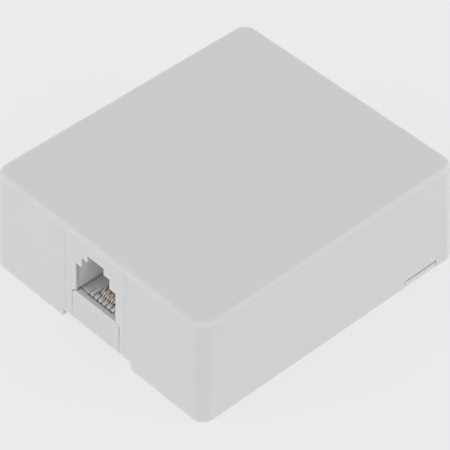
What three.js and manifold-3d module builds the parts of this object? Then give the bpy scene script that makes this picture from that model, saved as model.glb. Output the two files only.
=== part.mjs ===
// Surface-mount outlet box with one 6-position, 4-contact modular jack.
// Millimetres, +Z up. The origin is the middle of the box's footprint, on the mounting surface (z = 0).
// The jack looks out of the -Y wall, and the pry slots are in the -X and +X walls.

import * as THREE from 'three';
import { mergeVertices } from 'three/addons/utils/BufferGeometryUtils.js';
import Module from 'manifold-3d';

const wasm = await Module();
wasm.setup();

// ---- Case ----
const CASE_WIDTH = 52.35; // along X, at the rim
const CASE_LENGTH = 58.7; // along Y, at the rim
const CASE_HEIGHT = 20.9;
const DRAFT = 0.84; // how far each side leans in over the full height
const CORNER_RADIUS = 2.4;
const TOP_EDGE_RADIUS = 0.65;
const WALL = 1.1;
const ROOF = 1.4;
const INNER_CORNER_RADIUS = 1.3;
const JACK_WALL = { thickness: 0.8, half: 7.9, top: 19.2 }; // the front wall is thinner around the jack
const KNOCKOUT = { half: 4.5, top: 6, web: 0.45 }; // break-out patch for a cable along the wall
const WITNESS_LINE = { half: 0.08, depth: 0.05 };
const WITNESS_LINES = [
  { x: -7.3, top: 19.3 },
  { x: -6.0, top: 19.3 },
  { x: 7.3, top: 19.6 },
  { x: 7.9, top: 19.6 },
];
const SNAP_RIB = { low: 5.9, high: 6.9, proud: 0.35 };
const PAST = 1; // how far a cutter runs past the face it cuts

// ---- Port ----
const JACK_X = 0.22; // the jack's centre plane
const PORT_FLOOR = 8.05;
const PORT_WIDE = { half: 4.9, top: 14.25 }; // takes the plug's body
const PORT_MIDDLE = { half: 3.43, top: 16.3 }; // takes the latch's shoulders
const PORT_NARROW = { half: 2.0, top: 17.7 }; // takes the latch's finger end
const PORT_BACK = -17.0; // y of the tunnel's end
const LATCH_WALL = 2.3; // front wall that the plug's latch catches behind

// ---- Tongue: the contact carrier's front plate, which closes the cover's slot below the port ----
const TONGUE = { half: 5.72, top: 7.92, bottom: 1.65, thickness: 1.1, corner: 0.9, gap: 0.2 };

// ---- Jack housing and contact carrier ----
const HOUSING = { half: 7.6, bottom: 2.1, top: 18.6, back: -15, depth: 0.9, chamfer: 1.6 };
const CARRIER_BAY = { half: 5.9, top: 8.2 };
const EAR = { reach: 1.1, from: -22, to: -18, top: 3.4 };
const CARRIER = { half: 5.6, bottom: 2.4, top: 7.95, depth: 1.3, back: -15, chamfer: 0.2 };
const NECK = { top: 6.0, from: 0.55, to: 1.5 }; // joins the tongue to the carrier
const CONTACT_PITCH = 1.016;
const CONTACT_SLOTS = 6;
const CONTACT_INDICES = [1, 2, 3, 4]; // the two outer slots stay empty
const TOOTH = { width: 0.7, top: 8.1, nose: 0.4, length: 1.8 }; // one in front of every contact
const CHANNEL_FLOOR = 5.6; // the contacts spring above this trough
const CHANNEL_END = -17.6; // y of the trough's rear wall
const CHANNEL_HALF = (CONTACT_SLOTS / 2 + 0.5) * CONTACT_PITCH - TOOTH.width / 2;
const WELL_HALF = 1.86; // the trough narrows to the contacts behind the teeth
const GUIDE = { width: 0.3, start: 7.75, top: 8.45, rise: 0.55, fall: 0.4, to: -24.4 };
const REAR_COMB = { from: -19.4, to: -17.2, top: 10.4, width: 0.44, shoulder: 0.8 };
const BEND_Y = -26.45; // where the contact wires turn up into the port
const WIRE_HOLE = 0.25; // half the hole that a contact wire comes up through
const TAIL_SLOT = { half: 0.33, top: 5.2 };

// ---- Base ----
const PLATE_THICKNESS = 1.8;
const PLATE_GAP = 0.3; // between the plate's edge and the cover's inside
const RIM_NOTCH = { left: -8.15, right: 8.8, top: 1.65 };
const FRONT_RECESS = { left: -8.6, right: 9.2, depth: 3.5 }; // clears the tongue and the carrier
const PRY_SLOT = { from: 16.96, to: 24.63, top: 1.5, tabTop: 1.1, sideGap: 0.15 };
const MOUNT_SLOT = { width: 3.8, length: 9 };
const MOUNT_SLOTS = [
  { x: -18.5, y: -14, turned: true },
  { x: 18.5, y: 19, turned: false },
];
const CABLE_HOLE = { y: 15.5, halfX: 6.5, halfY: 4, corner: 1.2 };
const SNAP_Y = [-13, 11]; // the snap hooks' places along both side walls
const SNAP_LENGTH = 7;
const HOOK = { face: 23.95, thickness: 1.2, top: 9, halfLength: 3, reach: 0.3, noseLow: 7.2, noseHigh: 8.4 };
const RAIL = { gap: 0.3, thickness: 1.3, from: -24, to: -15, top: 9 }; // holds the jack by its ears
const STOP = { inner: 4.2, outer: 7.4, from: -14.7, to: -13.5, top: 10 };
const SEPARATOR_X = [-10, 0, 10];
const SEPARATOR = { half: 0.5, reach: 4, top: 9.5 };
const RELIEF_POST = { radius: 1.4, top: 7.5 };
const RELIEF_POSTS = [
  { x: -5, y: 21.8 },
  { x: 0, y: 25 },
  { x: 5, y: 21.8 },
];

// ---- Terminals ----
const TERMINAL_X = [-15, -5, 5, 15];
const TERMINAL_Y = 6;
const BOSS = { radius: 3.7, top: 7.0, hole: 1.6, holeFloor: 2.6 };
const LUG = { thickness: 0.5, forkRadius: 2.9, forkHole: 1.65, neckHalf: 1.0, neckOverlap: 0.8 };
const BARREL = { outer: 1.1, inner: 0.82, from: -7.0, to: -3.5, floor: -4.4 };
const WASHER = { side: 6.2, thickness: 0.6, hole: 1.6, corner: 0.5 };
const STACK_GAP = 0.1; // clearance between the pieces stacked on a boss
const SCREW = { shank: 1.4, tip: 1.0, tipLength: 0.5, length: 6.3, head: 2.8, headHeight: 2.1 };
const HEAD_CURVE = [ // shares of the head's radius and of its height
  [1, 0],
  [1, 0.45],
  [0.93, 0.72],
  [0.72, 0.93],
  [0.4, 1],
  [0, 1],
];
const RECESS = { half: 1.7, arm: 0.42, depth: 1.1 };

// ---- Wires ----
const CONTACT_WIRE = 0.2; // radius
const CONTACT_PATH = [ // from the bend: how far back, then the height
  [0, 6.6],
  [0, 7.5],
  [0.14, 8.0],
  [0.65, 8.4],
  [1.4, 8.72],
  [4.3, 9.3],
];
const CONTACT_END = { back: 8.15, height: 9.7 };
const TAIL_TOP = 6.2;
const TAIL_CORNER = 0.8;
const LEAD_RADIUS = 0.7;
const LEAD_START_Y = -14.4;
const LEAD_STRAIGHT = { leaving: 1.8, arriving: 1.2 }; // at the jack's end and before the lug
const LEAD_CURVE = { reach: 5, rise: 0.6 };
const LEAD_GAP = 0.4; // between a lead and the piece it meets end to end
const LEAD_COLOURS = { black: 0x1c1c1e, red: 0xb3261e, green: 0x1f7a3d, yellow: 0xe0b422 };
const ROW_HEIGHTS = [3.2, 4.7]; // the tails and leads leave the jack in two rows

const ROUND = 20; // sides of a round piece

// ---- Materials ----
const casing = () => new THREE.MeshStandardMaterial({ color: 0xd8d8d5, roughness: 0.55, metalness: 0 });
const insert = () => new THREE.MeshStandardMaterial({ color: 0xd2d2ce, roughness: 0.5, metalness: 0 });
const gold = () => new THREE.MeshStandardMaterial({ color: 0xc8964a, roughness: 0.25, metalness: 1 });
const brass = () => new THREE.MeshStandardMaterial({ color: 0xb9a26a, roughness: 0.4, metalness: 1 });
const steel = () => new THREE.MeshStandardMaterial({ color: 0xb8babd, roughness: 0.35, metalness: 1 });
const insulation = (color) => new THREE.MeshStandardMaterial({ color, roughness: 0.45, metalness: 0 });

// ---- Solids ----

// A closed mesh as a solid, with shared vertices merged and triangles of no area left out.
function solid(geometry) {
  const bare = geometry.clone();
  bare.deleteAttribute('normal');
  bare.deleteAttribute('uv');
  const merged = mergeVertices(bare, 1e-4);
  const corners = merged.index.array;
  const kept = [];
  for (let i = 0; i < corners.length; i += 3) {
    const [a, b, c] = [corners[i], corners[i + 1], corners[i + 2]];
    if (a !== b && b !== c && c !== a) kept.push(a, b, c);
  }
  const vertProperties = new Float32Array(merged.attributes.position.array);
  const triVerts = new Uint32Array(kept);
  return new wasm.Manifold(new wasm.Mesh({ numProp: 3, vertProperties, triVerts }));
}

function geometryOf(shape) {
  const mesh = shape.getMesh();
  const geometry = new THREE.BufferGeometry();
  geometry.setAttribute('position', new THREE.BufferAttribute(new Float32Array(mesh.vertProperties), 3));
  geometry.setIndex(new THREE.BufferAttribute(new Uint32Array(mesh.triVerts), 1));
  return geometry;
}

function outline(points) {
  return new THREE.Shape(points.map(([u, v]) => new THREE.Vector2(u, v)));
}

function extruded(shape, depth) {
  return new THREE.ExtrudeGeometry(shape, { depth, bevelEnabled: false, curveSegments: 8 });
}

// An XY outline raised from z0 to z1.
function prismZ(shape, z0, z1) {
  return solid(extruded(shape, z1 - z0).translate(0, 0, z0));
}

// A (y, z) outline extruded along X.
function prismX(points, x0, x1) {
  const turn = new THREE.Matrix4().set(0, 0, 1, x0, 1, 0, 0, 0, 0, 1, 0, 0, 0, 0, 0, 1);
  return solid(extruded(outline(points), x1 - x0).applyMatrix4(turn));
}

// An (x, z) outline extruded along Y.
function prismY(shape, y0, y1) {
  return solid(extruded(shape, y1 - y0).rotateX(Math.PI / 2).translate(0, y1, 0));
}

function block(x0, x1, y0, y1, z0, z1) {
  const size = new THREE.BoxGeometry(x1 - x0, y1 - y0, z1 - z0);
  return solid(size.translate((x0 + x1) / 2, (y0 + y1) / 2, (z0 + z1) / 2));
}

// The block from x0 to x1 and its mirror image.
function blockPair(x0, x1, y0, y1, z0, z1) {
  return [block(x0, x1, y0, y1, z0, z1), block(-x1, -x0, y0, y1, z0, z1)];
}

function roundZ(radius, x, y, z0, z1) {
  const post = new THREE.CylinderGeometry(radius, radius, z1 - z0, ROUND).rotateX(Math.PI / 2);
  return solid(post.translate(x, y, (z0 + z1) / 2));
}

function roundY(radius, y0, y1, z) {
  const rod = new THREE.CylinderGeometry(radius, radius, y1 - y0, ROUND);
  return solid(rod.translate(0, (y0 + y1) / 2, z));
}

const lean = (z) => (DRAFT * z) / CASE_HEIGHT;
const frontY = (z) => -CASE_LENGTH / 2 + lean(z); // the case's front face
const sideX = (z) => CASE_WIDTH / 2 - lean(z); // the case's right face

// An (x, z) outline between two depths behind the front face, which it follows up its draft.
function behindFront(shape, depthFrom, depthTo) {
  const geometry = extruded(shape, depthTo - depthFrom).rotateX(Math.PI / 2).translate(0, depthTo, 0);
  const position = geometry.attributes.position;
  for (let i = 0; i < position.count; i += 1) {
    position.setY(i, position.getY(i) + frontY(position.getZ(i)));
  }
  return solid(geometry);
}

function rectangle(x0, x1, z0, z1) {
  return outline([[x0, z0], [x1, z0], [x1, z1], [x0, z1]]);
}

function roundedRectangle(halfX, halfY, radius) {
  const shape = new THREE.Shape();
  shape.absarc(halfX - radius, halfY - radius, radius, 0, Math.PI / 2);
  shape.absarc(radius - halfX, halfY - radius, radius, Math.PI / 2, Math.PI);
  shape.absarc(radius - halfX, radius - halfY, radius, Math.PI, 1.5 * Math.PI);
  shape.absarc(halfX - radius, radius - halfY, radius, 1.5 * Math.PI, 2 * Math.PI);
  return shape;
}

// A plate's outline with square lower corners and round upper ones.
function roundTopped(half, bottom, top, radius) {
  const shape = new THREE.Shape();
  shape.moveTo(-half, bottom);
  shape.lineTo(half, bottom);
  shape.lineTo(half, top - radius);
  shape.absarc(half - radius, top - radius, radius, 0, Math.PI / 2);
  shape.absarc(radius - half, top - radius, radius, Math.PI / 2, Math.PI);
  return shape;
}

// A quarter circle from facing -u round to facing +v.
function quarterArc(centreU, centreV, radius) {
  const steps = 4;
  const points = [];
  for (let i = 0; i <= steps; i += 1) {
    const angle = Math.PI - (i / steps) * (Math.PI / 2);
    points.push([centreU + radius * Math.cos(angle), centreV + radius * Math.sin(angle)]);
  }
  return points;
}

// A slot's outline, round-ended and lying along X.
function stadium(half, radius) {
  const shape = new THREE.Shape();
  shape.absarc(half - radius, 0, radius, -Math.PI / 2, Math.PI / 2);
  shape.absarc(radius - half, 0, radius, Math.PI / 2, 1.5 * Math.PI);
  return shape;
}

// A stack of rounded rectangles, lowest first, joined into one closed solid.
function loft(sections) {
  const rings = sections.map(({ halfX, halfY, radius, z }) =>
    roundedRectangle(halfX, halfY, radius)
      .getPoints(4)
      .map((point) => [point.x, point.y, z])
  );
  const across = rings[0].length;
  const triangles = [];
  for (let level = 0; level + 1 < rings.length; level += 1) {
    for (let i = 0; i < across; i += 1) {
      const [a, b] = [level * across + i, level * across + ((i + 1) % across)];
      triangles.push(a, b, b + across, a, b + across, a + across);
    }
  }
  const last = (rings.length - 1) * across;
  for (let i = 1; i + 1 < across; i += 1) {
    triangles.push(0, i + 1, i, last, last + i, last + i + 1);
  }
  const geometry = new THREE.BufferGeometry();
  geometry.setAttribute('position', new THREE.Float32BufferAttribute(rings.flat(2), 3));
  geometry.setIndex(triangles);
  return solid(geometry);
}

function joined(shapes) {
  return shapes.reduce((whole, next) => whole.add(next));
}

function cut(shape, cutters) {
  return shape.subtract(joined(cutters));
}

// A wire or cable of the given radius along a curve, with flat ends.
function tube(curve, radius, steps, sides = 8) {
  const section = [];
  for (let i = 0; i < sides; i += 1) {
    const angle = (i / sides) * 2 * Math.PI;
    section.push([radius * Math.cos(angle), radius * Math.sin(angle)]);
  }
  const options = { steps, extrudePath: curve, bevelEnabled: false };
  return solid(new THREE.ExtrudeGeometry(outline(section), options));
}

function named(name, shape, material) {
  const mesh = new THREE.Mesh(geometryOf(shape), material);
  mesh.name = name;
  return mesh;
}

// ---- Cover ----

function caseSection(z, inset, radius) {
  return { halfX: sideX(z) - inset, halfY: -frontY(z) - inset, radius, z };
}

function coverOutside() {
  const sections = [caseSection(0, 0, CORNER_RADIUS)];
  const edgeSteps = 4;
  for (let i = 0; i <= edgeSteps; i += 1) {
    const angle = (i / edgeSteps) * (Math.PI / 2);
    const inset = TOP_EDGE_RADIUS * (1 - Math.cos(angle));
    const z = CASE_HEIGHT - TOP_EDGE_RADIUS * (1 - Math.sin(angle));
    sections.push(caseSection(z, inset, CORNER_RADIUS - inset));
  }
  return loft(sections);
}

function coverInside() {
  return loft([
    caseSection(-PAST, WALL, INNER_CORNER_RADIUS),
    caseSection(CASE_HEIGHT - ROOF, WALL, INNER_CORNER_RADIUS),
  ]);
}

// The stepped port, about the jack's centre plane.
function portOutline() {
  const right = [
    [PORT_WIDE.half, PORT_FLOOR],
    [PORT_WIDE.half, PORT_WIDE.top],
    [PORT_MIDDLE.half, PORT_WIDE.top],
    [PORT_MIDDLE.half, PORT_MIDDLE.top],
    [PORT_NARROW.half, PORT_MIDDLE.top],
    [PORT_NARROW.half, PORT_NARROW.top],
  ];
  const left = right.map(([x, z]) => [-x, z]).reverse();
  return outline([...right, ...left]);
}

// Shallow upright lines beside the jack, left by the mould's insert.
function witnessLines() {
  const { half, depth } = WITNESS_LINE;
  return WITNESS_LINES.map(({ x, top }) => {
    return behindFront(rectangle(x - half, x + half, -PAST, top), -PAST, depth);
  });
}

// Ribs inside the side walls that the base's hooks catch.
function snapRibs() {
  const { low, high, proud } = SNAP_RIB;
  const face = sideX(low) - WALL;
  return SNAP_Y.flatMap((y) =>
    blockPair(face - proud, face + WALL / 2, y - SNAP_LENGTH / 2, y + SNAP_LENGTH / 2, low, high)
  );
}

function cover() {
  const slotHalf = TONGUE.half + TONGUE.gap;
  const slot = roundTopped(slotHalf, -PAST, TONGUE.top + TONGUE.gap, TONGUE.corner + TONGUE.gap);
  const pocket = rectangle(-JACK_WALL.half, JACK_WALL.half, -PAST, JACK_WALL.top);
  const throughFront = [-PAST, WALL + PAST];
  const backFace = CASE_LENGTH / 2 - lean(KNOCKOUT.top / 2);
  const shell = cut(coverOutside(), [coverInside()]);
  const cutters = [
    behindFront(portOutline(), ...throughFront).translate([JACK_X, 0, 0]),
    behindFront(slot, ...throughFront).translate([JACK_X, 0, 0]),
    behindFront(pocket, JACK_WALL.thickness, WALL + PAST).translate([JACK_X, 0, 0]),
    behindFront(rectangle(RIM_NOTCH.left, RIM_NOTCH.right, -PAST, RIM_NOTCH.top), ...throughFront),
    block(
      -KNOCKOUT.half,
      KNOCKOUT.half,
      backFace - WALL - PAST,
      backFace - KNOCKOUT.web,
      -PAST,
      KNOCKOUT.top
    ),
    ...blockPair(sideX(0) - WALL - PAST, sideX(0) + PAST, PRY_SLOT.from, PRY_SLOT.to, -PAST, PRY_SLOT.top),
    ...witnessLines(),
  ];
  return cut(joined([shell, ...snapRibs()]), cutters);
}

// ---- Base plate ----

function mountSlots() {
  return MOUNT_SLOTS.map(({ x, y, turned }) =>
    prismZ(stadium(MOUNT_SLOT.length / 2, MOUNT_SLOT.width / 2), -PAST, PLATE_THICKNESS + PAST)
      .rotate([0, 0, turned ? 90 : 0])
      .translate([x, y, 0])
  );
}

// Spring arms along both sides whose noses catch the cover's ribs.
function snapHooks() {
  const { face, thickness, top, halfLength, reach, noseLow, noseHigh } = HOOK;
  const profile = [
    [face - thickness, PLATE_THICKNESS / 2],
    [face, PLATE_THICKNESS / 2],
    [face, noseLow],
    [face + reach, noseLow],
    [face + reach, noseLow + reach],
    [face, noseHigh],
    [face, top],
    [face - thickness, top],
  ];
  return SNAP_Y.flatMap((y) => {
    const right = prismY(outline(profile), y - halfLength, y + halfLength);
    return [right, right.mirror([1, 0, 0])];
  });
}

// Side rails that hold the jack housing by its ears, and stops behind it.
function cradle() {
  const inner = HOUSING.half + RAIL.gap;
  const outer = inner + RAIL.thickness;
  const windows = blockPair(
    inner - PAST,
    outer + PAST,
    EAR.from - RAIL.gap,
    EAR.to + RAIL.gap,
    PLATE_THICKNESS,
    EAR.top + RAIL.gap
  );
  const rails = blockPair(inner, outer, RAIL.from, RAIL.to, PLATE_THICKNESS / 2, RAIL.top);
  const stops = blockPair(STOP.inner, STOP.outer, STOP.from, STOP.to, PLATE_THICKNESS / 2, STOP.top);
  return joined([cut(joined(rails), windows), ...stops]).translate([JACK_X, 0, 0]);
}

function basePlate() {
  const half = { x: sideX(0) - WALL - PLATE_GAP, y: -frontY(0) - WALL - PLATE_GAP };
  const root = PLATE_THICKNESS / 2;
  const plate = prismZ(roundedRectangle(half.x, half.y, INNER_CORNER_RADIUS), 0, PLATE_THICKNESS);
  const tabs = block(
    -sideX(PRY_SLOT.tabTop),
    sideX(PRY_SLOT.tabTop),
    PRY_SLOT.from + PRY_SLOT.sideGap,
    PRY_SLOT.to - PRY_SLOT.sideGap,
    0,
    PRY_SLOT.tabTop
  );
  const frontRecess = block(
    FRONT_RECESS.left,
    FRONT_RECESS.right,
    -CASE_LENGTH / 2,
    FRONT_RECESS.depth - half.y,
    -PAST,
    PLATE_THICKNESS + PAST
  );
  const cableHole = prismZ(
    roundedRectangle(CABLE_HOLE.halfX, CABLE_HOLE.halfY, CABLE_HOLE.corner),
    -PAST,
    PLATE_THICKNESS + PAST
  );
  const floor = cut(joined([plate, tabs]), [
    frontRecess,
    cableHole.translate([0, CABLE_HOLE.y, 0]),
    ...mountSlots(),
  ]);
  const bosses = TERMINAL_X.map((x) => roundZ(BOSS.radius, x, TERMINAL_Y, root, BOSS.top));
  const separators = SEPARATOR_X.map((x) => {
    const { half: halfThickness, reach, top } = SEPARATOR;
    return block(x - halfThickness, x + halfThickness, TERMINAL_Y - reach, TERMINAL_Y + reach, root, top);
  });
  const posts = RELIEF_POSTS.map(({ x, y }) => roundZ(RELIEF_POST.radius, x, y, root, RELIEF_POST.top));
  const holes = TERMINAL_X.map((x) => roundZ(BOSS.hole, x, TERMINAL_Y, BOSS.holeFloor, BOSS.top + PAST));
  return cut(joined([floor, ...bosses, ...separators, ...posts, ...snapHooks(), cradle()]), holes);
}

// ---- Jack: modelled about its own centre plane, x = 0 ----

function jackHousing() {
  const { half, bottom, top, back, depth, chamfer } = HOUSING;
  const body = prismX(
    [
      [frontY(bottom) + depth, bottom],
      [back, bottom],
      [back, top - chamfer],
      [back - chamfer, top],
      [frontY(top) + depth, top],
    ],
    -half,
    half
  );
  const [earFrom, earTo] = [-half - EAR.reach, half + EAR.reach];
  const ears = block(earFrom, earTo, EAR.from, EAR.to, bottom, EAR.top);
  const plugTunnel = prismY(
    rectangle(-PORT_WIDE.half, PORT_WIDE.half, PORT_FLOOR, PORT_WIDE.top),
    frontY(0) - PAST,
    PORT_BACK
  );
  const latchPocket = prismY(
    rectangle(-PORT_WIDE.half, PORT_WIDE.half, PORT_WIDE.top - PAST, PORT_NARROW.top),
    frontY(PORT_MIDDLE.top) + LATCH_WALL,
    PORT_BACK
  );
  const carrierBay = block(
    -CARRIER_BAY.half,
    CARRIER_BAY.half,
    frontY(0) - PAST,
    back + PAST,
    bottom - PAST,
    CARRIER_BAY.top
  );
  return cut(joined([body, ears]), [
    behindFront(portOutline(), 0, LATCH_WALL + PAST),
    plugTunnel,
    latchPocket,
    carrierBay,
  ]);
}

const slotX = (index) => (index - (CONTACT_SLOTS - 1) / 2) * CONTACT_PITCH;

// Round-nosed teeth, one for each contact place. Those of the contacts end where the wire comes up.
function frontTeeth() {
  const front = frontY(TOOTH.top) + CARRIER.depth;
  const root = CHANNEL_FLOOR - TOOTH.nose;
  const nose = quarterArc(front + TOOTH.nose, TOOTH.top - TOOTH.nose, TOOTH.nose);
  const teeth = [];
  for (let index = 0; index < CONTACT_SLOTS; index += 1) {
    const back = CONTACT_INDICES.includes(index) ? BEND_Y - WIRE_HOLE : front + TOOTH.length + TOOTH.nose;
    const profile = [[front, root], ...nose, [back, TOOTH.top], [back, root]];
    teeth.push(prismX(profile, slotX(index) - TOOTH.width / 2, slotX(index) + TOOTH.width / 2));
  }
  return teeth;
}

// Low ribs that guide the contacts where they rise into the port.
function guideRibs() {
  const { width, start, top, rise, fall, to } = GUIDE;
  const from = BEND_Y - WIRE_HOLE;
  const root = CHANNEL_FLOOR - TOOTH.nose;
  const profile = [
    [from, root],
    [from, start],
    [from + rise, top],
    [to - fall, top],
    [to, top - fall],
    [to, root],
  ];
  return CONTACT_INDICES.slice(1).map((index) => {
    const x = slotX(index - 0.5);
    return prismX(profile, x - width / 2, x + width / 2);
  });
}

// Ribs that keep the contacts' free ends apart.
function rearRibs() {
  const { from, to, top, width, shoulder } = REAR_COMB;
  const root = CHANNEL_FLOOR - TOOTH.nose;
  const profile = [[from, root], [from, top - shoulder], [from + shoulder, top], [to, top], [to, root]];
  const ribs = [];
  for (let index = 0; index <= CONTACT_SLOTS; index += 1) {
    const x = slotX(index - 0.5);
    ribs.push(prismX(profile, x - width / 2, x + width / 2));
  }
  return ribs;
}

function contactCarrier() {
  const { half, bottom, top, depth, back, chamfer } = CARRIER;
  const plate = roundTopped(TONGUE.half, TONGUE.bottom, TONGUE.top, TONGUE.corner);
  const tongue = behindFront(plate, 0, TONGUE.thickness);
  const neck = behindFront(rectangle(-half, half, bottom, NECK.top), NECK.from, NECK.to);
  const body = prismX(
    [
      [frontY(bottom) + depth, bottom],
      [back, bottom],
      [back, top],
      [frontY(top) + depth + chamfer, top],
      [frontY(top) + depth, top - chamfer],
    ],
    -half,
    half
  );
  const channelFront = frontY(CHANNEL_FLOOR) + TONGUE.thickness;
  const teethBack = frontY(TOOTH.top) + CARRIER.depth + TOOTH.length;
  const channel = block(-CHANNEL_HALF, CHANNEL_HALF, channelFront, teethBack, CHANNEL_FLOOR, top + PAST);
  const well = block(-WELL_HALF, WELL_HALF, teethBack - PAST, CHANNEL_END, CHANNEL_FLOOR, top + PAST);
  const wireWays = CONTACT_INDICES.flatMap((index) => {
    const x = slotX(index);
    const slot = TAIL_SLOT.half;
    return [
      block(x - slot, x + slot, BEND_Y - slot, back + PAST, bottom - PAST, TAIL_SLOT.top),
      block(x - WIRE_HOLE, x + WIRE_HOLE, BEND_Y - WIRE_HOLE, BEND_Y + WIRE_HOLE, bottom, top),
    ];
  });
  const trough = cut(joined([tongue, neck, body]), [channel, well]);
  return cut(joined([trough, ...frontTeeth(), ...guideRibs(), ...rearRibs()]), wireWays);
}

// The free, springing end of a contact wire, from behind its tooth to the rear ribs.
function contactSpring(x) {
  const places = [...CONTACT_PATH, [CONTACT_END.back, CONTACT_END.height]];
  const points = places.map(([back, z]) => new THREE.Vector3(x, BEND_Y + back, z));
  const curve = new THREE.CatmullRomCurve3(points);
  return tube(curve, CONTACT_WIRE, 12);
}

// The fixed end of a contact wire: down through the carrier, then back along its underside.
function contactTail(x, row) {
  const down = new THREE.Vector3(x, BEND_Y, row + TAIL_CORNER);
  const corner = new THREE.Vector3(x, BEND_Y, row);
  const along = new THREE.Vector3(x, BEND_Y + TAIL_CORNER, row);
  const path = new THREE.CurvePath();
  path.add(new THREE.LineCurve3(new THREE.Vector3(x, BEND_Y, TAIL_TOP), down));
  path.add(new THREE.QuadraticBezierCurve3(down, corner, along));
  path.add(new THREE.LineCurve3(along, new THREE.Vector3(x, LEAD_START_Y - LEAD_GAP, row)));
  return tube(path, CONTACT_WIRE, 12);
}

// ---- Terminals: modelled about the top of their boss ----

function spadeLug() {
  const [low, high] = [STACK_GAP, STACK_GAP + LUG.thickness];
  const { forkRadius, forkHole, neckHalf, neckOverlap } = LUG;
  const barrelZ = low + BARREL.outer;
  const fork = joined([
    roundZ(forkRadius, 0, 0, low, high),
    block(-neckHalf, neckHalf, BARREL.to - neckOverlap, 0, low, high),
  ]);
  const open = [
    roundZ(forkHole, 0, 0, low - PAST, high + PAST),
    block(-forkHole, forkHole, 0, forkRadius + PAST, low - PAST, high + PAST),
  ];
  const barrel = roundY(BARREL.outer, BARREL.from, BARREL.to, barrelZ);
  const bore = roundY(BARREL.inner, BARREL.from - PAST, BARREL.floor, barrelZ);
  return cut(joined([cut(fork, open), barrel]), [bore]);
}

function squareWasher(low) {
  const high = low + WASHER.thickness;
  const plate = prismZ(roundedRectangle(WASHER.side / 2, WASHER.side / 2, WASHER.corner), low, high);
  return cut(plate, [roundZ(WASHER.hole, 0, 0, low - PAST, high + PAST)]);
}

// A pan head screw with a cross recess. Its head's underside is at the given height.
function panHeadScrew(seat) {
  const { shank, tip, tipLength, length, head, headHeight } = SCREW;
  const profile = [
    [0, seat - length],
    [tip, seat - length],
    [shank, seat - length + tipLength],
    [shank, seat],
    ...HEAD_CURVE.map(([out, up]) => [head * out, seat + headHeight * up]),
  ];
  const points = profile.map(([r, z]) => new THREE.Vector2(r, z));
  const turned = new THREE.LatheGeometry(points, ROUND).rotateX(Math.PI / 2);
  const { half, arm, depth } = RECESS;
  const [floor, top] = [seat + headHeight - depth, seat + headHeight + PAST];
  return cut(solid(turned), [
    block(-half, half, -arm, arm, floor, top),
    block(-arm, arm, -half, half, floor, top),
  ]);
}

// ---- Leads from the jack's back to the lugs ----

function lead(startX, row, endX) {
  const { reach, rise } = LEAD_CURVE;
  const endZ = BOSS.top + STACK_GAP + BARREL.outer;
  const start = new THREE.Vector3(startX, LEAD_START_Y, row);
  const leave = new THREE.Vector3(startX, LEAD_START_Y + LEAD_STRAIGHT.leaving, row);
  const arrive = new THREE.Vector3(endX, TERMINAL_Y + BARREL.from - LEAD_STRAIGHT.arriving, endZ);
  const end = new THREE.Vector3(endX, TERMINAL_Y + BARREL.floor - LEAD_GAP, endZ);
  const leaving = new THREE.Vector3(startX, leave.y + reach, row + rise);
  const arriving = new THREE.Vector3(endX, arrive.y - reach, endZ + rise);
  const path = new THREE.CurvePath();
  path.add(new THREE.LineCurve3(start, leave));
  path.add(new THREE.CubicBezierCurve3(leave, leaving, arriving, arrive));
  path.add(new THREE.LineCurve3(arrive, end));
  return tube(path, LEAD_RADIUS, 18);
}

// ---- Assembly ----

const outletBox = new THREE.Group();
outletBox.add(named('cover', cover(), casing()));
outletBox.add(named('base_plate', basePlate(), casing()));

const jack = new THREE.Group();
jack.position.x = JACK_X;
jack.add(named('jack_housing', jackHousing(), insert()));
jack.add(named('contact_carrier', contactCarrier(), insert()));
CONTACT_INDICES.forEach((index, i) => {
  const x = slotX(index);
  jack.add(named(`contact_spring_${i + 1}`, contactSpring(x), gold()));
  jack.add(named(`contact_tail_${i + 1}`, contactTail(x, ROW_HEIGHTS[i % 2]), gold()));
});
outletBox.add(jack);

Object.entries(LEAD_COLOURS).forEach(([colour, value], i) => {
  const startX = JACK_X + slotX(CONTACT_INDICES[i]);
  outletBox.add(named(`lead_${colour}`, lead(startX, ROW_HEIGHTS[i % 2], TERMINAL_X[i]), insulation(value)));

  const terminal = new THREE.Group();
  terminal.position.set(TERMINAL_X[i], TERMINAL_Y, BOSS.top);
  const lowerWasher = LUG.thickness + 2 * STACK_GAP;
  const upperWasher = lowerWasher + WASHER.thickness + STACK_GAP;
  const screwSeat = upperWasher + WASHER.thickness + STACK_GAP;
  terminal.add(named(`lug_${colour}`, spadeLug(), brass()));
  terminal.add(named(`washer_lower_${i + 1}`, squareWasher(lowerWasher), steel()));
  terminal.add(named(`washer_upper_${i + 1}`, squareWasher(upperWasher), steel()));
  terminal.add(named(`terminal_screw_${i + 1}`, panHeadScrew(screwSeat), steel()));
  outletBox.add(terminal);
});

export default outletBox;
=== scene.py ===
import math

import bmesh
import bpy
from mathutils import Matrix, Vector


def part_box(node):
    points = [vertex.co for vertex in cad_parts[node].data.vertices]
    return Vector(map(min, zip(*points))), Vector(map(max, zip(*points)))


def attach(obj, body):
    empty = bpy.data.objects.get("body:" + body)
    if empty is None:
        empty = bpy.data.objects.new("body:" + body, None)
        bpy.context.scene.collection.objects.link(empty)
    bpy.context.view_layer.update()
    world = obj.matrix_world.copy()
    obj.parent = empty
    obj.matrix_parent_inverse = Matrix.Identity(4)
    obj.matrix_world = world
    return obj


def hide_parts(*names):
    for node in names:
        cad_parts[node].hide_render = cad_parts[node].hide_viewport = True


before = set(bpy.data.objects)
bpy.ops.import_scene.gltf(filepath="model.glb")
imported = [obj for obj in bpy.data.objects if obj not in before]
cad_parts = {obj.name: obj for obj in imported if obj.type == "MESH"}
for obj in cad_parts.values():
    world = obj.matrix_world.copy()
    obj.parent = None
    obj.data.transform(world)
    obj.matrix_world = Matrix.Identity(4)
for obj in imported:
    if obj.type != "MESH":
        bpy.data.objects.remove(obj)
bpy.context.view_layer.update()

MM = 0.001

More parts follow.
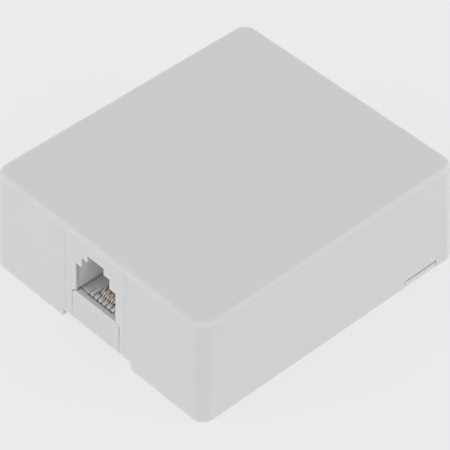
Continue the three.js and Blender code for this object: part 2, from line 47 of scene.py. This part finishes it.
# ---- Sizes from the frame, in metres ----
COVER_LOW, COVER_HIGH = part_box("cover")
RIM_HALF_X = (COVER_HIGH.x - COVER_LOW.x) / 2
RIM_HALF_Y = (COVER_HIGH.y - COVER_LOW.y) / 2
HEIGHT = COVER_HIGH.z
CARRIER_LOW, CARRIER_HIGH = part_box("contact_carrier")
JACK_X = (CARRIER_LOW.x + CARRIER_HIGH.x) / 2
TONGUE_HALF = (CARRIER_HIGH.x - CARRIER_LOW.x) / 2  # the tongue is the carrier's widest part

# ---- Cover ----
DRAFT = 0.84 * MM  # how far each side leans in over the full height
CORNER_RADIUS = 2.4 * MM
TOP_EDGE_RADIUS = 0.65 * MM
WALL = 1.1 * MM
ROOF = 1.4 * MM
INNER_CORNER_RADIUS = 1.3 * MM
CEILING_EDGE = [  # depth below the ceiling, how far in from the wall, how much tighter the corners are
    (0.8 * MM, 0, 0),
    (0.25 * MM, 0.22 * MM, 0.1 * MM),
    (0, 0.8 * MM, 0.5 * MM),
]
CROWN = 0.1 * MM  # how far the top's middle stands above its edges
PAST = 1 * MM  # how far a cutter runs past the face it cuts
PORT_FLOOR = 8.05 * MM
PORT_STEPS = [(4.9 * MM, 14.25 * MM), (3.43 * MM, 16.3 * MM), (2.0 * MM, 17.7 * MM)]  # half width, top
TONGUE_TOP = 7.92 * MM
TONGUE_CORNER = 0.9 * MM
TONGUE_GAP = 0.2 * MM
TONGUE_SLOT_TAPER = (3.2 * MM, 5.4 * MM)  # its slot widens from the tight gap between these heights
TIGHT_GAP = 0.03 * MM  # beside the tongue's lower part
JACK_WALL = (7.9 * MM, 19.2 * MM, 0.8 * MM)  # half width, top and thickness of the thin wall round the jack
RIM_NOTCH = (-8.15 * MM, 8.8 * MM, 1.65 * MM)  # left, right, top
PRY_SLOT = (16.96 * MM, 24.63 * MM, 1.5 * MM)  # from and to along the side, top
KNOCKOUT = (4.5 * MM, 6 * MM, 0.45 * MM)  # half width, top and thickness of the patch that breaks out
SNAP_RIBS_Y = (-13 * MM, 11 * MM)
SNAP_RIB_HALF = 3.5 * MM
SNAP_RIB_LOW = 5.9 * MM
SNAP_RIB_HIGH = 6.9 * MM
SNAP_RIB_DEPTH = 0.35 * MM
WITNESS_LINES = [  # x, top, depth
    (-7.22 * MM, 19.3 * MM, 0.075 * MM),
    (-6.0 * MM, 19.3 * MM, 0.03 * MM),
    (7.4 * MM, 19.6 * MM, 0.045 * MM),
    (8.0 * MM, 19.6 * MM, 0.04 * MM),
]
WITNESS_HALF = 0.07 * MM
WITNESS_START = RIM_NOTCH[2] + 0.2 * MM  # just above the notch's rounded edge

# ---- Wires ----
CONTACT_COUNT = 4
CONTACT_RADIUS = 0.2 * MM
CONTACT_STEPS = [  # distance behind the front bend, height
    (0, 6.6 * MM),
    (0, 7.5 * MM),
    (0.14 * MM, 8.0 * MM),
    (0.65 * MM, 8.4 * MM),
    (1.4 * MM, 8.72 * MM),
    (4.3 * MM, 9.3 * MM),
]
TAIL_CORNER = 0.8 * MM
LEAD_NAMES = ("black", "red", "green", "yellow")
LEAD_RADIUS = 0.7 * MM
LEAD_LEAVING = 1.8 * MM  # straight out of the jack
LEAD_ARRIVING = 1.2 * MM  # straight into the lug
LEAD_REACH = 5 * MM  # how far each end's direction carries into the curve
LEAD_LIFT = 0.6 * MM  # how much it rises there
LUG_BARREL_RADIUS = 1.1 * MM


# ---- Mesh building ----


def lean(z):
    """How far the cover's sides have leaned in at height z."""
    return DRAFT * z / HEIGHT


def front_y(z):
    return -RIM_HALF_Y + lean(z)


def side_x(z):
    return RIM_HALF_X - lean(z)


def new_object(name, mesh):
    obj = bpy.data.objects.new(name, mesh)
    bpy.context.scene.collection.objects.link(obj)
    return obj


def mesh_object(name, points, faces):
    """A new object whose faces all point outwards."""
    mesh = bpy.data.meshes.new(name)
    mesh.from_pydata([tuple(p) for p in points], [], faces)
    shape = bmesh.new()
    shape.from_mesh(mesh)
    bmesh.ops.recalc_face_normals(shape, faces=shape.faces)
    shape.to_mesh(mesh)
    shape.free()
    return new_object(name, mesh)


def stacked(name, rings):
    """One closed mesh through rings of equally many points, closed at both ends."""
    around = len(rings[0])
    faces = [list(range(around)), list(range((len(rings) - 1) * around, len(rings) * around))]
    for level in range(len(rings) - 1):
        for i in range(around):
            a = level * around + i
            b = level * around + (i + 1) % around
            faces.append([a, b, b + around, a + around])
    return mesh_object(name, [p for ring in rings for p in ring], faces)


def box_solid(x0, x1, y0, y1, z0, z1):
    corners = ((x0, y0), (x1, y0), (x1, y1), (x0, y1))
    return stacked("cutter", [[(x, y, z) for x, y in corners] for z in (z0, z1)])


def mirrored_boxes(x0, x1, y0, y1, z0, z1):
    """A box on the right and its mirror image on the left."""
    return [box_solid(x0, x1, y0, y1, z0, z1), box_solid(-x1, -x0, y0, y1, z0, z1)]


def behind_front(outline, depth_from, depth_to):
    """An (x, z) outline between two depths behind the cover's leaning front face."""
    return stacked("cutter", [[(x, front_y(z) + d, z) for x, z in outline] for d in (depth_from, depth_to)])


def settle(obj):
    """Turns an object's modifiers into mesh."""
    graph = bpy.context.evaluated_depsgraph_get()
    mesh = bpy.data.meshes.new_from_object(obj.evaluated_get(graph))
    obj.modifiers.clear()
    obj.data = mesh
    return obj


def combine(target, others, operation):
    """Joins the others to the target, or cuts them from it, and removes them."""
    for other in others:
        modifier = target.modifiers.new("combine", "BOOLEAN")
        modifier.operation = operation
        modifier.solver = "EXACT"
        modifier.object = other
    bpy.context.view_layer.update()
    settle(target)
    for other in others:
        bpy.data.objects.remove(other)
    return target


def cleaned(obj, flat_angle=0.5):
    """Merges doubled points and coplanar faces, so that edges can be rounded."""
    shape = bmesh.new()
    shape.from_mesh(obj.data)
    bmesh.ops.remove_doubles(shape, verts=shape.verts, dist=0.002 * MM)
    bmesh.ops.dissolve_limit(
        shape, angle_limit=math.radians(flat_angle), verts=shape.verts, edges=shape.edges
    )
    shape.to_mesh(obj.data)
    shape.free()
    return obj


def round_edges(obj, width, sharper_than=38):
    modifier = obj.modifiers.new("round_edges", "BEVEL")
    modifier.width = width
    modifier.segments = 3
    modifier.limit_method = "ANGLE"
    modifier.angle_limit = math.radians(sharper_than)
    modifier.use_clamp_overlap = True
    return settle(obj)


def shade(obj, sharper_than=34):
    """Smooth shading that keeps flat faces flat and real edges sharp."""
    obj.data.shade_smooth()
    obj.data.set_sharp_from_angle(angle=math.radians(sharper_than))
    modifier = obj.modifiers.new("weighted_normals", "WEIGHTED_NORMAL")
    modifier.keep_sharp = True
    return obj


def finish_piece(obj, name, material, body, node):
    """Names a piece, gives it its material, ties it to its body and hides its CAD node."""
    obj.name = name
    obj.data.name = name
    obj.data.materials.clear()
    obj.data.materials.append(material)
    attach(obj, body)
    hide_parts(node)
    return obj


# ---- Materials ----

SOAK_DEPTH = 0.9 * MM  # how far light soaks into the plastics


def principled(name, colour, roughness, metallic):
    material = bpy.data.materials.new(name)
    material.use_nodes = True
    shader = material.node_tree.nodes["Principled BSDF"]
    shader.inputs["Base Color"].default_value = (*colour, 1)
    shader.inputs["Roughness"].default_value = roughness
    shader.inputs["Metallic"].default_value = metallic
    return material, shader


def noise(material, scale, detail):
    """Cloudy noise with about this many patches in a metre."""
    nodes, links = material.node_tree.nodes, material.node_tree.links
    place = nodes.new("ShaderNodeTexCoord")
    texture = nodes.new("ShaderNodeTexNoise")
    texture.inputs["Scale"].default_value = scale
    texture.inputs["Detail"].default_value = detail
    links.new(place.outputs["Object"], texture.inputs["Vector"])
    return texture.outputs["Fac"]


def remap(material, value, low, high):
    """A 0.3 to 0.7 noise value spread from low to high."""
    node = material.node_tree.nodes.new("ShaderNodeMapRange")
    node.inputs["From Min"].default_value = 0.3
    node.inputs["From Max"].default_value = 0.7
    node.inputs["To Min"].default_value = low
    node.inputs["To Max"].default_value = high
    material.node_tree.links.new(value, node.inputs["Value"])
    return node.outputs["Result"]


def tinted(material, shader, colour, value, spread):
    """Varies the base colour by a share of itself."""
    mix = material.node_tree.nodes.new("ShaderNodeMix")
    mix.data_type = "RGBA"
    mix.inputs["A"].default_value = (*[c * (1 - spread) for c in colour], 1)
    mix.inputs["B"].default_value = (*[min(1, c * (1 + spread)) for c in colour], 1)
    material.node_tree.links.new(remap(material, value, 0, 1), mix.inputs["Factor"])
    material.node_tree.links.new(mix.outputs["Result"], shader.inputs["Base Color"])


def bumped(material, shader, value, depth, strength):
    bump = material.node_tree.nodes.new("ShaderNodeBump")
    bump.inputs["Distance"].default_value = depth
    bump.inputs["Strength"].default_value = strength
    material.node_tree.links.new(value, bump.inputs["Height"])
    material.node_tree.links.new(bump.outputs["Normal"], shader.inputs["Normal"])


def moulded_plastic(name, colour, roughness, grain=0.25):
    """Satin ABS, with a spark-eroded grain and faint flow marks. Light soaks into it."""
    material, shader = principled(name, colour, roughness, 0)
    shader.inputs["Subsurface Weight"].default_value = 1
    shader.inputs["Subsurface Radius"].default_value = (1, 1, 1)
    shader.inputs["Subsurface Scale"].default_value = SOAK_DEPTH
    links = material.node_tree.links
    tinted(material, shader, colour, noise(material, scale=90, detail=2), spread=0.008)
    gloss = remap(material, noise(material, scale=220, detail=3), roughness - 0.04, roughness + 0.04)
    links.new(gloss, shader.inputs["Roughness"])
    bumped(material, shader, noise(material, scale=3200, detail=2), depth=0.02 * MM, strength=grain)
    return material


def metal(name, colour, roughness, wear_scale):
    """A plated or bare metal, with a cloudy tint and fine wear in its gloss and surface."""
    material, shader = principled(name, colour, roughness, 1)
    links = material.node_tree.links
    tinted(material, shader, colour, noise(material, scale=700, detail=3), spread=0.06)
    gloss = remap(material, noise(material, wear_scale, detail=4), roughness * 0.7, roughness * 1.4)
    links.new(gloss, shader.inputs["Roughness"])
    bumped(material, shader, noise(material, wear_scale, detail=4), depth=0.01 * MM, strength=0.3)
    return material


CASE_GREY = (0.627, 0.627, 0.630)
# Painted light: the jack housing is a lighter grey than the case's plastic so that the inside of the port
# looks lit.
HOUSING_WHITE_PAINTED_LIGHT = (0.82, 0.82, 0.822)
CARRIER_GREY = (0.615, 0.615, 0.618)
GOLD = (0.75, 0.56, 0.42)
BRASS = (0.70, 0.55, 0.30)
WASHER_NICKEL = (0.62, 0.61, 0.59)
SCREW_NICKEL = (0.66, 0.65, 0.63)
LEAD_TONES = {
    "black": (0.012, 0.012, 0.013),
    "red": (0.42, 0.015, 0.012),
    "green": (0.012, 0.16, 0.045),
    "yellow": (0.72, 0.42, 0.02),
}
cover_plastic = moulded_plastic("cover_abs", CASE_GREY, roughness=0.4)
base_plastic = moulded_plastic("base_abs", CASE_GREY, roughness=0.45)
# The housing's lighter grey is painted light for the inside of the port.
housing_plastic_painted_light = moulded_plastic("jack_housing_abs_painted_light", HOUSING_WHITE_PAINTED_LIGHT, roughness=0.45, grain=0.12)
carrier_plastic = moulded_plastic("contact_carrier_abs", CARRIER_GREY, roughness=0.42, grain=0.12)
contact_gold = metal("contact_gold_plate", GOLD, roughness=0.3, wear_scale=4000)
lug_brass = metal("lug_brass_sheet", BRASS, roughness=0.35, wear_scale=2500)
washer_steel = metal("washer_nickel", WASHER_NICKEL, roughness=0.32, wear_scale=2200)
screw_steel = metal("screw_nickel", SCREW_NICKEL, roughness=0.28, wear_scale=2600)


# ---- Cover ----

CORNER_STEPS = 12
FILLET_STEPS = 8
CROWN_STEPS = 6


def case_ring(z, inset, radius, level=None):
    """The case's rounded outline at height z, inset from its outside, drawn there or at another level."""
    half_x = side_x(z) - inset
    half_y = -front_y(z) - inset
    quarters = ((1, 1, 0), (-1, 1, 90), (-1, -1, 180), (1, -1, 270))
    points = []
    for sx, sy, start in quarters:
        for i in range(CORNER_STEPS + 1):
            angle = math.radians(start + 90 * i / CORNER_STEPS)
            x = sx * (half_x - radius) + radius * math.cos(angle)
            y = sy * (half_y - radius) + radius * math.sin(angle)
            points.append((x, y, z if level is None else level))
    return points


def cover_outside():
    """The case's outside, with a rounded top edge and a faint crown."""
    edge = HEIGHT - CROWN
    rings = [case_ring(0, 0, CORNER_RADIUS)]
    for i in range(FILLET_STEPS + 1):
        angle = math.radians(90 * i / FILLET_STEPS)
        inset = TOP_EDGE_RADIUS * (1 - math.cos(angle))
        z = edge - TOP_EDGE_RADIUS * (1 - math.sin(angle))
        rings.append(case_ring(z, inset, CORNER_RADIUS - inset))
    last = rings[-1]
    for i in range(1, CROWN_STEPS + 1):
        share = 1 - i / (CROWN_STEPS + 0.5)
        rise = CROWN * (1 - share * share)
        rings.append([(x * share, y * share, z + rise) for x, y, z in last])
    return stacked("cover_shell", rings)


def cover_inside():
    """The hollow inside, whose walls round over into the ceiling."""
    rings = [case_ring(0, WALL, INNER_CORNER_RADIUS, -PAST), case_ring(0, WALL, INNER_CORNER_RADIUS)]
    for below, further_in, tighter in CEILING_EDGE:
        rings.append(case_ring(HEIGHT - ROOF - below, WALL + further_in, INNER_CORNER_RADIUS - tighter))
    return stacked("cutter", rings)


def port_outline():
    """The port's opening, which narrows upwards in steps."""
    right = [(PORT_STEPS[0][0], PORT_FLOOR)]
    for (half, top), following in zip(PORT_STEPS, PORT_STEPS[1:] + [None]):
        right.append((half, top))
        if following:
            right.append((following[0], top))
    left = [(-x, z) for x, z in reversed(right)]
    return [(JACK_X + x, z) for x, z in right + left]


def tongue_slot_outline():
    """The slot that the jack's tongue fills, open at the rim and round at its top corners."""
    half = TONGUE_HALF + TONGUE_GAP
    tight = TONGUE_HALF + TIGHT_GAP
    radius = TONGUE_CORNER + TONGUE_GAP
    top = TONGUE_TOP + TONGUE_GAP
    low, high = TONGUE_SLOT_TAPER
    outline = [(-tight, -PAST), (tight, -PAST), (tight, low), (half, high)]
    for sx, start in ((1, 0), (-1, 90)):
        for i in range(FILLET_STEPS + 1):
            angle = math.radians(start + 90 * i / FILLET_STEPS)
            x = sx * (half - radius) + radius * math.cos(angle)
            outline.append((x, top - radius + radius * math.sin(angle)))
    outline += [(-half, high), (-tight, low)]
    return [(JACK_X + x, z) for x, z in outline]


def rectangle(x0, x1, z0, z1):
    return [(x0, z0), (x1, z0), (x1, z1), (x0, z1)]


def witness_lines():
    """Faint upright lines beside the jack, left by the mould's insert."""
    lines = []
    for x, top, depth in WITNESS_LINES:
        outline = rectangle(x - WITNESS_HALF, x + WITNESS_HALF, WITNESS_START, top)
        lines.append(behind_front(outline, -PAST, depth))
    return lines


def snap_ribs():
    """Ribs on the side walls' inner faces, which the base's hooks catch."""
    ribs = []
    face = side_x(SNAP_RIB_LOW) - WALL
    across = (face - SNAP_RIB_DEPTH, face + WALL / 2)
    for y in SNAP_RIBS_Y:
        along = (y - SNAP_RIB_HALF, y + SNAP_RIB_HALF)
        ribs += mirrored_boxes(*across, *along, SNAP_RIB_LOW, SNAP_RIB_HIGH)
    return ribs


def make_cover():
    shell = combine(cover_outside(), [cover_inside()], "DIFFERENCE")
    shell = combine(shell, snap_ribs(), "UNION")
    through = (-PAST, WALL + PAST)
    left, right, notch_top = RIM_NOTCH
    pocket_half, pocket_top, thin = JACK_WALL
    pocket = rectangle(JACK_X - pocket_half, JACK_X + pocket_half, -PAST, pocket_top)
    patch_half, patch_top, patch = KNOCKOUT
    back_y = RIM_HALF_Y - lean(patch_top / 2)  # the back wall's outside at the patch's middle
    slot_from, slot_to, slot_top = PRY_SLOT
    sides = (side_x(0) - WALL - PAST, side_x(0) + PAST)
    cutters = [
        behind_front(port_outline(), *through),
        behind_front(tongue_slot_outline(), *through),
        behind_front(pocket, thin, WALL + PAST),
        behind_front(rectangle(left, right, -PAST, notch_top), *through),
        box_solid(-patch_half, patch_half, back_y - WALL - PAST, back_y - patch, -PAST, patch_top),
        *mirrored_boxes(*sides, slot_from, slot_to, -PAST, slot_top),
    ]
    shell = cleaned(combine(shell, cutters, "DIFFERENCE"), flat_angle=0.05)
    shell = round_edges(shell, width=0.1 * MM)
    shell = combine(shell, witness_lines(), "DIFFERENCE")
    shade(shell)
    return finish_piece(shell, "cover_shell", cover_plastic, "cover", "cover")


# ---- Moulded pieces that keep the frame's own shape ----


def moulded_from(node, name, material, edge):
    """A copy of a node of the base's body, with its edges rounded."""
    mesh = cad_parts[node].data.copy()
    obj = cleaned(new_object(name, mesh))
    round_edges(obj, edge)
    shade(obj)
    return finish_piece(obj, name, material, "base", node)


# ---- Contacts and leads ----


def smooth_path(points, steps=8):
    """A Catmull-Rom curve through the points."""
    padded = [2 * points[0] - points[1], *points, 2 * points[-1] - points[-2]]
    path = []
    for a, b, c, d in zip(padded, padded[1:], padded[2:], padded[3:]):
        for i in range(steps):
            t = i / steps
            square = (2 * a - 5 * b + 4 * c - d) * t**2
            cube = (3 * b - a - 3 * c + d) * t**3
            path.append(0.5 * (2 * b + (c - a) * t + square + cube))
    return path + [points[-1]]


def bezier(a, b, c, d, steps):
    path = []
    for i in range(steps + 1):
        t = i / steps
        path.append(a * (1 - t) ** 3 + b * 3 * t * (1 - t) ** 2 + c * 3 * t**2 * (1 - t) + d * t**3)
    return path


def wire(name, path, radius, sides=14):
    """A round wire along a path, with its ends slightly rounded off."""
    curve = bpy.data.curves.new(name, "CURVE")
    curve.dimensions = "3D"
    curve.bevel_depth = radius
    curve.bevel_resolution = sides // 2 - 1
    curve.use_fill_caps = True
    spline = curve.splines.new("POLY")
    spline.points.add(len(path) - 1)
    for point, place in zip(spline.points, path):
        point.co = (*place, 1)
    obj = new_object(name, curve)
    bpy.context.view_layer.update()
    mesh = bpy.data.meshes.new_from_object(obj.evaluated_get(bpy.context.evaluated_depsgraph_get()))
    bpy.data.objects.remove(obj)
    shape = new_object(name, mesh)
    round_edges(shape, radius / 4, sharper_than=60)
    return shade(shape, sharper_than=50)


def make_contacts():
    """The contact wires: each springing end above its bend, and its fixed tail in the carrier."""
    for i in range(CONTACT_COUNT):
        node = f"contact_spring_{i + 1}"
        low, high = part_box(node)
        x = (low.x + high.x) / 2
        bend_y = low.y + CONTACT_RADIUS
        end = Vector((x, high.y, high.z - CONTACT_RADIUS))
        route = [Vector((x, bend_y + behind, z)) for behind, z in CONTACT_STEPS] + [end]
        spring = wire(node + "_wire", smooth_path(route), CONTACT_RADIUS)
        finish_piece(spring, node + "_wire", contact_gold, node + "_body", node)

        node = f"contact_tail_{i + 1}"
        low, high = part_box(node)
        row = low.z + CONTACT_RADIUS
        turn = bezier(
            Vector((x, bend_y, row + TAIL_CORNER)),
            Vector((x, bend_y, row + TAIL_CORNER / 2)),
            Vector((x, bend_y + TAIL_CORNER / 2, row)),
            Vector((x, bend_y + TAIL_CORNER, row)),
            steps=8,
        )
        route = [Vector((x, bend_y, high.z)), *turn, Vector((x, high.y, row))]
        tail = wire(node + "_wire", route, CONTACT_RADIUS)
        finish_piece(tail, node + "_wire", contact_gold, "base", node)


def make_leads():
    """Insulated leads that curve from the back of the jack to the lugs."""
    for name in LEAD_NAMES:
        node = f"lead_{name}"
        low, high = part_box(node)
        lug_low, lug_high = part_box(f"lug_{name}")
        end_x = (lug_low.x + lug_high.x) / 2
        end_z = lug_high.z - LUG_BARREL_RADIUS
        row = low.z + LEAD_RADIUS
        start_x = high.x - LEAD_RADIUS if end_x < 0 else low.x + LEAD_RADIUS
        start = Vector((start_x, low.y, row))
        leave = start + Vector((0, LEAD_LEAVING, 0))
        end = Vector((end_x, high.y, end_z))
        arrive = Vector((end_x, lug_low.y - LEAD_ARRIVING, end_z))
        onward = leave + Vector((0, LEAD_REACH, LEAD_LIFT))
        before = arrive + Vector((0, -LEAD_REACH, LEAD_LIFT))
        curve = bezier(leave, onward, before, arrive, steps=40)
        lead = wire(f"{node}_insulated", [start, *curve, end], LEAD_RADIUS, sides=20)
        material = moulded_plastic(f"insulation_{name}", LEAD_TONES[name], roughness=0.38, grain=0.1)
        finish_piece(lead, f"{node}_insulated", material, "base", node)


# ---- Terminals ----

SCREW_SIDES = 36
THREAD_PITCH = 0.5 * MM
THREAD_STEPS = 8  # sections in one turn
THREAD_MAJOR = 1.42 * MM
THREAD_MINOR = 1.18 * MM
SCREW_END_RADIUS = 0.6 * THREAD_MINOR
THREAD_START = 0.3 * MM  # above the screw's end
PLAIN_SHANK = 0.6 * MM  # at least this much of the shank has no thread
NECK = 0.15 * MM  # the plain neck under the head
WASHER_GAP = 0.1 * MM  # between the upper washer and the head
RECESS_FLOOR = (0.75 * MM, 0.28 * MM, -1.15 * MM)  # the cross's reach, its arms' half width, its height
RECESS_MOUTH = (1.62 * MM, 0.42 * MM, 0.2 * MM)  # the same, with heights measured from the head's top
SEAM = (0.06 * MM, 3.2 * MM, 0.35 * MM)  # the barrel seam's half width, length and depth
HEAD_PROFILE = [  # share of the head's radius, share of its height
    (0.97, 0.0),
    (1.0, 0.04),
    (1.0, 0.42),
    (0.985, 0.55),
    (0.93, 0.7),
    (0.84, 0.83),
    (0.7, 0.93),
    (0.5, 0.985),
    (0.25, 1.0),
    (0.04, 1.0),
]


def circle(radius, z, wave=None):
    """A ring of points round the Z axis, whose radius may vary with the angle."""
    points = []
    for i in range(SCREW_SIDES):
        angle = 2 * math.pi * i / SCREW_SIDES
        r = radius if wave is None else radius + wave(angle)
        points.append((r * math.cos(angle), r * math.sin(angle), z))
    return points


def thread_ring(z):
    """A section of a V thread, whose crest turns with the height."""

    def crest(angle):
        phase = (z / THREAD_PITCH - angle / (2 * math.pi)) % 1
        return (THREAD_MAJOR - THREAD_MINOR) * (1 - abs(2 * phase - 1))

    return circle(THREAD_MINOR, z, crest)


def cross_recess(top):
    """A cross that narrows towards its floor."""

    def outline(reach, arm, above):
        half = [(reach, -arm), (reach, arm), (arm, arm), (arm, reach), (-arm, reach), (-arm, arm)]
        return [(x, y, top + above) for x, y in half + [(-x, -y) for x, y in half]]

    return stacked("cutter", [outline(*RECESS_FLOOR), outline(*RECESS_MOUTH)])


def make_screw(index):
    """A pan head screw whose thread and head are one turned surface."""
    node = f"terminal_screw_{index}"
    low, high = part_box(node)
    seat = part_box(f"washer_upper_{index}")[1].z + WASHER_GAP
    rings = [circle(SCREW_END_RADIUS, low.z)]
    turns = int((seat - low.z - PLAIN_SHANK) / THREAD_PITCH)
    start = low.z + THREAD_START
    rings += [thread_ring(start + i * THREAD_PITCH / THREAD_STEPS) for i in range(turns * THREAD_STEPS)]
    rings += [circle(THREAD_MINOR, z) for z in (seat - NECK, seat)]
    radius, rise = (high.x - low.x) / 2, high.z - seat
    rings += [circle(radius * r, seat + rise * h) for r, h in HEAD_PROFILE]
    screw = combine(stacked("screw", rings), [cross_recess(high.z)], "DIFFERENCE")
    centre = (low + high) / 2
    screw.data.transform(Matrix.Translation((centre.x, centre.y, 0)))
    shade(screw, sharper_than=40)
    name = f"pan_head_screw_{index}"
    return finish_piece(screw, name, screw_steel, node + "_body", node)


def make_lug(colour):
    """A stamped spade lug whose barrel is rolled from the same sheet, so it has a seam."""
    node = f"lug_{colour}"
    low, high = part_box(node)
    x = (low.x + high.x) / 2
    lug = cleaned(new_object(node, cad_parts[node].data.copy()))
    half, length, depth = SEAM
    seam = box_solid(x - half, x + half, low.y - PAST, low.y + length, high.z - depth, high.z + PAST)
    combine(lug, [seam], "DIFFERENCE")
    round_edges(lug, width=0.06 * MM, sharper_than=50)
    shade(lug)
    return finish_piece(lug, f"spade_lug_{colour}", lug_brass, "base", node)


def make_terminals():
    for index, colour in enumerate(LEAD_NAMES, start=1):
        make_lug(colour)
        for place in ("lower", "upper"):
            node = f"washer_{place}_{index}"
            moulded_from(node, f"clamp_{node}", washer_steel, edge=0.1 * MM)
        make_screw(index)


# ---- Camera, floor and light ----

CASE_CENTRE = Vector((0, 0, HEIGHT / 2))
VIEW_AZIMUTH = 47.04
VIEW_ELEVATION = 43.16
VIEW_DISTANCE = 435.67 * MM
VIEW_DROP = 2.18 * MM  # how far the lens's axis passes below the case's centre
LENS = 208  # millimetres
SENSOR_WIDTH = 36  # millimetres
FLOOR_HALF = 3
FLOOR_LEVEL = -0.05 * MM  # just clear of the base's underside
FLOOR_GREY = (0.12, 0.12, 0.12)
FLOOR_GLOW = 0.702
SURROUND_GLOW = 0.785
SOFTBOX_AZIMUTHS = {"softbox_left": -24, "softbox_right": 114}
SOFTBOX_ELEVATION = 24
SOFTBOX_DISTANCE = 1.0
SOFTBOX_SIZE = 0.6
SOFTBOX_WATTS = 2.6


def direction(azimuth, elevation):
    """From the case towards a place at this azimuth and elevation. Azimuth 0 is in front of the jack."""
    a, e = math.radians(azimuth), math.radians(elevation)
    return Vector((math.sin(a) * math.cos(e), -math.cos(a) * math.cos(e), math.sin(e)))


def make_camera():
    camera = bpy.data.objects.new("camera", bpy.data.cameras.new("camera"))
    bpy.context.scene.collection.objects.link(camera)
    camera.data.lens = LENS
    camera.data.sensor_width = SENSOR_WIDTH
    camera.data.clip_start = 0.01
    camera.data.clip_end = 20
    back = direction(VIEW_AZIMUTH, VIEW_ELEVATION)
    up = (Vector((0, 0, 1)) - back * back.z).normalized()
    camera.location = CASE_CENTRE + back * VIEW_DISTANCE - up * VIEW_DROP
    camera.rotation_mode = "QUATERNION"
    camera.rotation_quaternion = (-back).to_track_quat("-Z", "Y")
    bpy.context.scene.camera = camera


def make_floor():
    """A pale sheet that glows faintly, like a light table."""
    signs = ((-1, -1), (1, -1), (1, 1), (-1, 1))
    corners = [(FLOOR_HALF * sx, FLOOR_HALF * sy, FLOOR_LEVEL) for sx, sy in signs]
    floor = mesh_object("floor", corners, [[0, 1, 2, 3]])
    material, shader = principled("light_table", FLOOR_GREY, roughness=0.9, metallic=0)
    tinted(material, shader, FLOOR_GREY, noise(material, scale=2, detail=2), spread=0.002)
    shader.inputs["Emission Color"].default_value = (1, 1, 1, 1)
    shader.inputs["Emission Strength"].default_value = FLOOR_GLOW
    floor.data.materials.append(material)


def softbox(name, azimuth):
    """A square lamp that looks at the case, hidden from its gloss so that it doesn't glare there."""
    light = bpy.data.lights.new(name, "AREA")
    light.shape = "SQUARE"
    light.size = SOFTBOX_SIZE
    light.energy = SOFTBOX_WATTS
    lamp = bpy.data.objects.new(name, light)
    bpy.context.scene.collection.objects.link(lamp)
    away = direction(azimuth, SOFTBOX_ELEVATION)
    lamp.location = CASE_CENTRE + away * SOFTBOX_DISTANCE
    lamp.rotation_mode = "QUATERNION"
    lamp.rotation_quaternion = (-away).to_track_quat("-Z", "Y")
    lamp.visible_glossy = False


def make_light():
    """An even white surround, and a soft box for each side that the camera sees."""
    world = bpy.data.worlds.new("studio")
    bpy.context.scene.world = world
    world.use_nodes = True
    background = world.node_tree.nodes["Background"]
    background.inputs["Color"].default_value = (1, 1, 1, 1)
    background.inputs["Strength"].default_value = SURROUND_GLOW
    for name, azimuth in SOFTBOX_AZIMUTHS.items():
        softbox(name, azimuth)
    bpy.context.scene.view_settings.view_transform = "Standard"
    bpy.context.scene.view_settings.look = "None"


make_camera()
make_floor()
make_light()
make_cover()
moulded_from("base_plate", "base_moulding", base_plastic, edge=0.12 * MM)
moulded_from("jack_housing", "jack_body", housing_plastic_painted_light, edge=0.1 * MM)
moulded_from("contact_carrier", "carrier_insert", carrier_plastic, edge=0.07 * MM)
make_contacts()
make_leads()
make_terminals()
